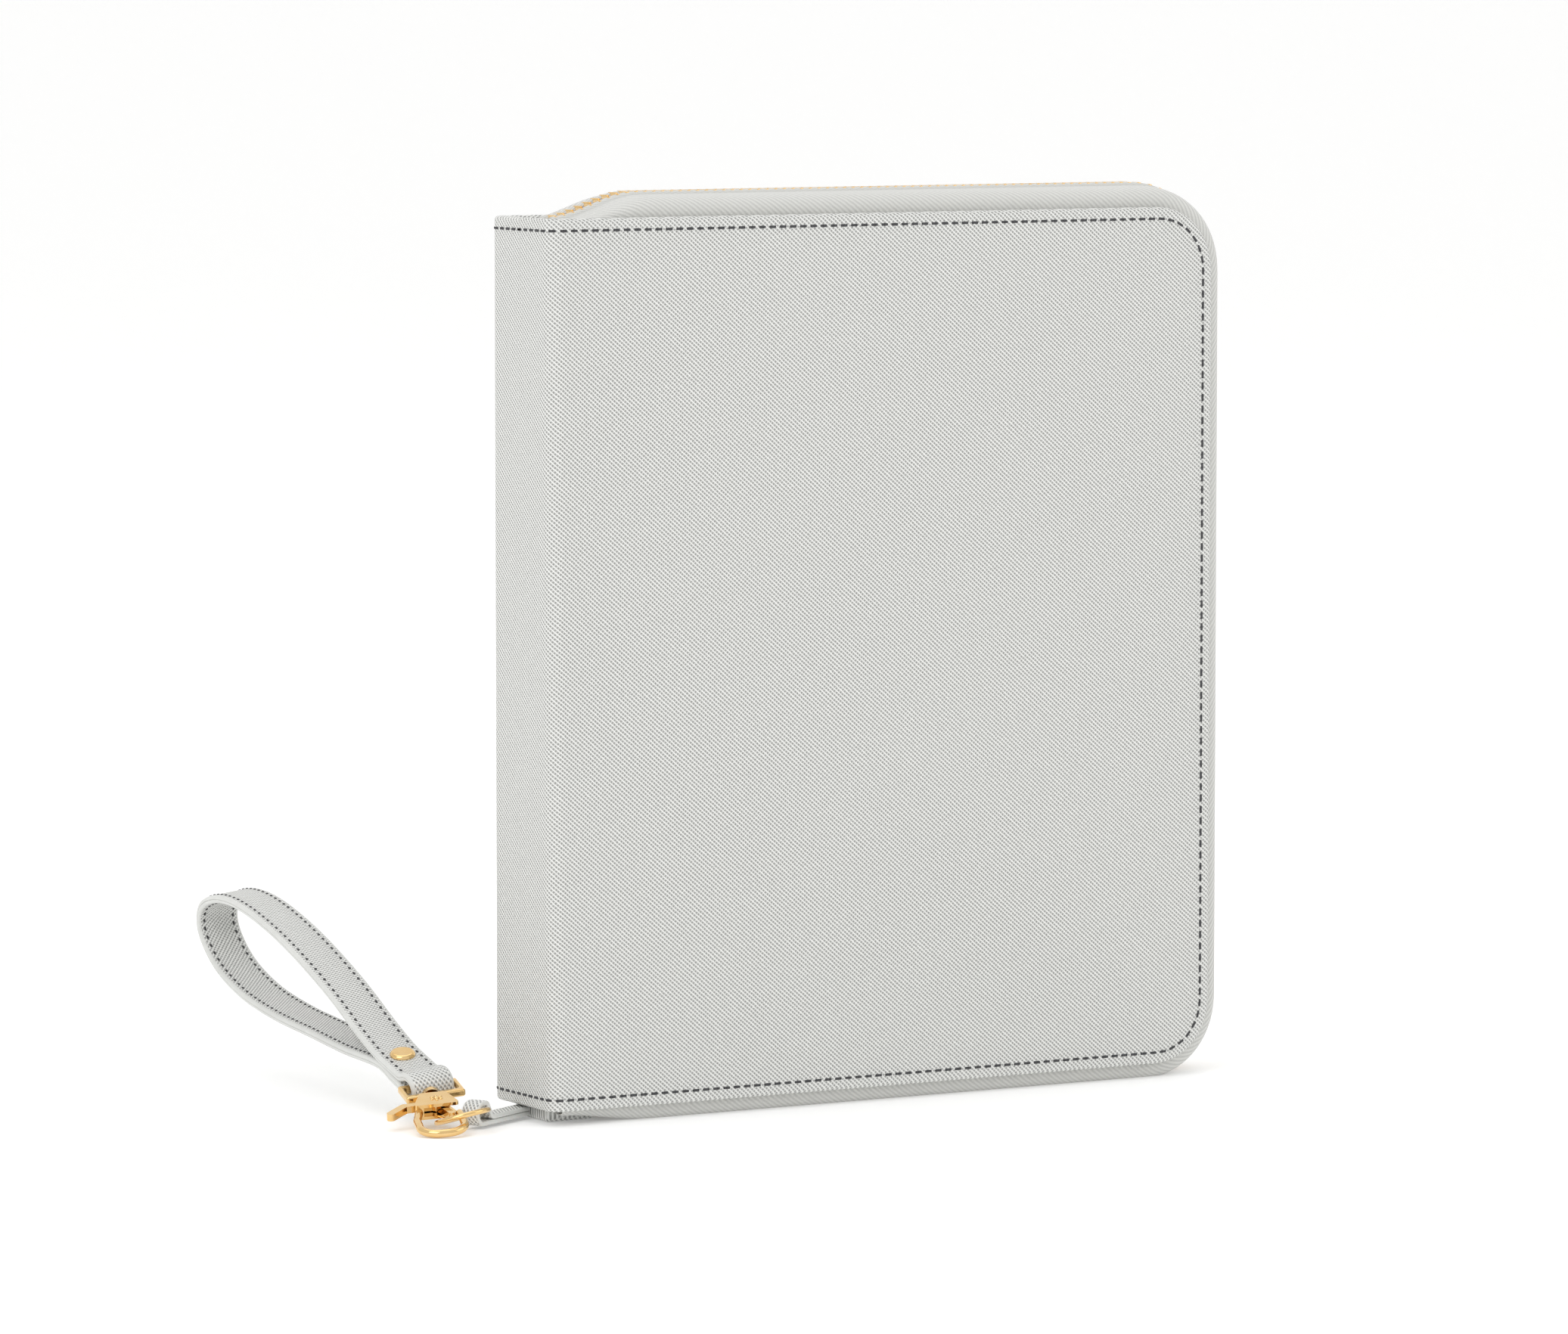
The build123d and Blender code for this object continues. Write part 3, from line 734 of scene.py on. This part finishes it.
def build_foot_patch():
    """Folded leather patch over the zip's closed end, a little padded, that the case stands on."""
    low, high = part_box("foot_patch")
    bm = bmesh.new()
    size = Matrix.Diagonal((high.x - low.x, PATCH_W, high.z - low.z, 1))
    bmesh.ops.create_cube(bm, size=1.0, matrix=Matrix.Translation((low + high) / 2) @ size)
    bmesh.ops.bevel(bm, geom=list(bm.edges), offset=1.6 * MM, segments=4, profile=0.5,
                    affect="EDGES", material=-1)
    made = piece("foot_patch_leather", bm, MATERIALS["trim"])
    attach(made, "spine")
    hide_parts("foot_patch")


# ---------------------------------------------------------------- gilt fittings
BODY_HALF_T = 2.2 * MM
PETALS = 6
PETAL_R = 0.62 * MM
PETALS_OUT = 1.35 * MM
BUTTON_R = 0.75 * MM


def build_rosette():
    """Small plain rosette over the clasp's pin."""
    bm = bmesh.new()
    centre = joint_point("lever_press") + CLASP_Z * BODY_HALF_T
    turned = Matrix((CLASP_X, CLASP_Y, CLASP_Z)).transposed().to_4x4()
    seat = Matrix.Translation(centre) @ turned
    bmesh.ops.create_uvsphere(bm, u_segments=16, v_segments=8, radius=BUTTON_R,
                              matrix=seat @ Matrix.Diagonal((1, 1, 0.6, 1)))
    petal = Matrix.Translation((PETALS_OUT, 0, 0)) @ Matrix.Diagonal((1, 0.8, 0.5, 1))
    for i in range(PETALS):
        spin = Matrix.Rotation(i * 2 * pi / PETALS, 4, "Z")
        bmesh.ops.create_uvsphere(bm, u_segments=12, v_segments=8, radius=PETAL_R, matrix=seat @ spin @ petal)
    made = piece("clasp_rosette", bm, MATERIALS["gold"])
    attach(made, "clasp")


CAD_FINISHES = {
    "gold": ("ring", "clasp_body", "clasp_hook", "clasp_pin", "clasp_lever", "bail", "strap_rivet",
             "zip_slider", "zip_pull"),
    "lining": ("spine_lining", "front_cover_lining", "back_cover_lining", "front_pocket", "back_pocket"),
    "board": ("spine_stiffener", "front_cover_board", "back_cover_board"),
    "paper": ("text_block", "front_leaves"),
    "band": ("head_band", "tail_band"),
    "ribbon": ("ribbon_marker",),
}


def finish_cad_nodes():
    """Give every carried-over part of the frame its finish."""
    for finish, nodes in CAD_FINISHES.items():
        for name in nodes:
            node = frame["nodes"][name]
            node.data.materials.clear()
            node.data.materials.append(MATERIALS[finish])


# ---------------------------------------------------------------- stage
CAMERA_AT = Vector((-1.0988, -1.9885, 0.3287))
CAMERA_TURN = radians(-30.5)
CAMERA_DIP = radians(5.1)
LENS = 188.94
FLOOR_FRONT, FLOOR_RUN, FLOOR_BEND, FLOOR_RISE, FLOOR_W = 4.0, 5.0, 2.0, 6.0, 24.0  # metres
FLOOR_ROWS, FLAT_ROWS = 40, 2  # rows of faces in all, and in each of the two flat ends
AIM = Vector((0.06, 0.0, 0.12))
LAMPS = (  # name, place, size, share of the light power
    ("key", (-1.9, -1.0, 1.9), 1.8, 1.25),
    ("fill", (1.8, -1.6, 1.4), 1.8, 0.45),
    ("top", (0.2, 0.4, 2.6), 2.2, 0.8),
)


def build_stage(light_power, world_strength):
    """Pale floor that curves up behind, soft light and the camera."""
    bm = bmesh.new()
    bmesh.ops.create_grid(bm, x_segments=1, y_segments=FLOOR_ROWS, size=0.5)
    last_bend = FLOOR_ROWS - FLAT_ROWS
    rows = {v: round((v.co.y + 0.5) * FLOOR_ROWS) for v in bm.verts}
    for v, row in rows.items():
        turn = (row - FLAT_ROWS) / (last_bend - FLAT_ROWS) * pi / 2
        if row <= FLAT_ROWS:
            y, z = -FLOOR_FRONT + (FLOOR_RUN + FLOOR_FRONT) * row / FLAT_ROWS, 0.0
        elif row < last_bend:
            y, z = FLOOR_RUN + FLOOR_BEND * sin(turn), FLOOR_BEND * (1 - cos(turn))
        else:
            y, z = FLOOR_RUN + FLOOR_BEND, FLOOR_BEND + FLOOR_RISE * (row - last_bend) / FLAT_ROWS
        v.co = (v.co.x * FLOOR_W, y, z)
    bmesh.ops.rotate(bm, verts=list(bm.verts), cent=(0, 0, 0), matrix=Matrix.Rotation(CAMERA_TURN, 3, "Z"))
    material, tree, shader = new_material("floor_paper")
    shader.inputs["Base Color"].default_value = (0.93, 0.93, 0.925, 1)
    shader.inputs["Roughness"].default_value = 0.85
    shader.inputs["Emission Color"].default_value = (1, 1, 1, 1)
    shader.inputs["Emission Strength"].default_value = 0.14
    add_bump(tree, shader, noise(tree, coordinates(tree, "Object"), 3 * MM), 0.02, 0.05 * MM)
    floor = piece("floor", bm, material)

    world = bpy.data.worlds.new("studio")
    bpy.context.scene.world = world
    world.use_nodes = True
    sky = world.node_tree.nodes["Background"]
    sky.inputs["Color"].default_value = (1, 1, 1, 1)
    sky.inputs["Strength"].default_value = world_strength
    for label, place, size, share in LAMPS:
        lamp = bpy.data.lights.new(label, "AREA")
        lamp.size = size
        lamp.energy = light_power * share
        holder = bpy.data.objects.new(label, lamp)
        holder.location = place
        holder.rotation_euler = (AIM - Vector(place)).to_track_quat("-Z", "Y").to_euler()
        bpy.context.scene.collection.objects.link(holder)

    lens = bpy.data.cameras.new("camera")
    lens.lens = LENS
    lens.sensor_width = 36.0
    lens.clip_end = 50.0
    holder = bpy.data.objects.new("camera", lens)
    holder.location = CAMERA_AT
    holder.rotation_euler = (pi / 2 - CAMERA_DIP, 0, CAMERA_TURN)
    bpy.context.scene.collection.objects.link(holder)
    bpy.context.scene.camera = holder
    bpy.context.scene.view_settings.view_transform = "Standard"


# ---------------------------------------------------------------- settings, operators, panel
class BookCaseSettings(bpy.types.PropertyGroup):
    """Sizes and colours of the case that a user would change."""

    leather_tone: bpy.props.FloatVectorProperty(
        name="Leather", description="Colour of the leatherette", default=(0.91, 0.915, 0.885),
        subtype="COLOR")
    gold_tone: bpy.props.FloatVectorProperty(
        name="Gold", description="Colour of the gilt fittings", default=(0.86, 0.62, 0.31), subtype="COLOR")
    stitch_pitch: bpy.props.FloatProperty(
        name="Stitch pitch", description="From one stitch to the next", default=3.3 * MM, unit="LENGTH")
    stitch_length: bpy.props.FloatProperty(
        name="Stitch length", description="Length of the thread that shows", default=2.1 * MM, unit="LENGTH")
    stitch_width: bpy.props.FloatProperty(
        name="Stitch width", description="Thickness of the sewing thread", default=0.7 * MM, unit="LENGTH")
    tooth_pitch: bpy.props.FloatProperty(
        name="Tooth pitch", description="From one zip tooth to the next", default=2.8 * MM, unit="LENGTH")
    light_power: bpy.props.FloatProperty(
        name="Light power", description="Power of the strongest lamp", default=14.0, unit="POWER")
    world_strength: bpy.props.FloatProperty(
        name="Surrounding light", description="Strength of the light from all round", default=0.85)


class BOOKCASE_OT_finishes(bpy.types.Operator):
    """Make the materials and give the frame's own parts theirs"""

    bl_idname = "bookcase.finishes"
    bl_label = "Finishes"

    def execute(self, context):
        make_materials(context.scene.book_case)
        finish_cad_nodes()
        return {"FINISHED"}


class BOOKCASE_OT_covers(bpy.types.Operator):
    """Build the leather of both covers and the spine"""

    bl_idname = "bookcase.covers"
    bl_label = "Covers and Spine"

    def execute(self, context):
        for name, side in SIDES:
            build_skin(name, side)
        return {"FINISHED"}


class BOOKCASE_OT_cover_stitches(bpy.types.Operator):
    """Sew the edges of the covers"""

    bl_idname = "bookcase.cover_stitches"
    bl_label = "Cover Stitches"

    def execute(self, context):
        settings = context.scene.book_case
        for name, side in SIDES:
            build_cover_stitches(name, side, settings.stitch_pitch, settings.stitch_length,
                                 settings.stitch_width)
        return {"FINISHED"}


class BOOKCASE_OT_zip(bpy.types.Operator):
    """Build the gusset tapes and their rows of teeth"""

    bl_idname = "bookcase.zip"
    bl_label = "Zip"

    def execute(self, context):
        for name, side in SIDES:
            build_tape(name, side)
            build_teeth(name, side, context.scene.book_case.tooth_pitch)
        return {"FINISHED"}


class BOOKCASE_OT_strap(bpy.types.Operator):
    """Build the wrist strap with its stitches"""

    bl_idname = "bookcase.strap"
    bl_label = "Wrist Strap"

    def execute(self, context):
        build_strap()
        return {"FINISHED"}


class BOOKCASE_OT_tab(bpy.types.Operator):
    """Build the folded leather tab that holds the ring, and the patch over its ends"""

    bl_idname = "bookcase.tab"
    bl_label = "Ring Tab and Patch"

    def execute(self, context):
        build_tab()
        build_foot_patch()
        return {"FINISHED"}


class BOOKCASE_OT_rosette(bpy.types.Operator):
    """Build the plain rosette on the clasp"""

    bl_idname = "bookcase.rosette"
    bl_label = "Clasp Rosette"

    def execute(self, context):
        build_rosette()
        return {"FINISHED"}


class BOOKCASE_OT_stage(bpy.types.Operator):
    """Build the floor, the soft light and the camera"""

    bl_idname = "bookcase.stage"
    bl_label = "Stage"

    def execute(self, context):
        settings = context.scene.book_case
        build_stage(settings.light_power, settings.world_strength)
        return {"FINISHED"}


OPERATORS = (
    BOOKCASE_OT_finishes, BOOKCASE_OT_covers, BOOKCASE_OT_cover_stitches, BOOKCASE_OT_zip, BOOKCASE_OT_strap,
    BOOKCASE_OT_tab, BOOKCASE_OT_rosette, BOOKCASE_OT_stage,
)


class BOOKCASE_PT_panel(bpy.types.Panel):
    """The case's settings and its pieces"""

    bl_idname = "BOOKCASE_PT_panel"
    bl_label = "Book Case"
    bl_space_type = "VIEW_3D"
    bl_region_type = "UI"
    bl_category = "Book Case"

    def draw(self, context):
        settings = context.scene.book_case
        for name in BookCaseSettings.__annotations__:
            self.layout.prop(settings, name)
        for operator in OPERATORS:
            self.layout.operator(operator.bl_idname)


CLASSES = (BookCaseSettings, *OPERATORS, BOOKCASE_PT_panel)


def register():
    for cls in CLASSES:
        bpy.utils.register_class(cls)
    bpy.types.Scene.book_case = bpy.props.PointerProperty(type=BookCaseSettings)


def unregister():
    del bpy.types.Scene.book_case
    for cls in reversed(CLASSES):
        bpy.utils.unregister_class(cls)


def main():
    """Build the whole case."""
    register()
    bpy.ops.bookcase.finishes()
    bpy.ops.bookcase.covers()
    bpy.ops.bookcase.cover_stitches()
    bpy.ops.bookcase.zip()
    bpy.ops.bookcase.strap()
    bpy.ops.bookcase.tab()
    bpy.ops.bookcase.rosette()
    bpy.ops.bookcase.stage()


if __name__ == "__main__":
    main()
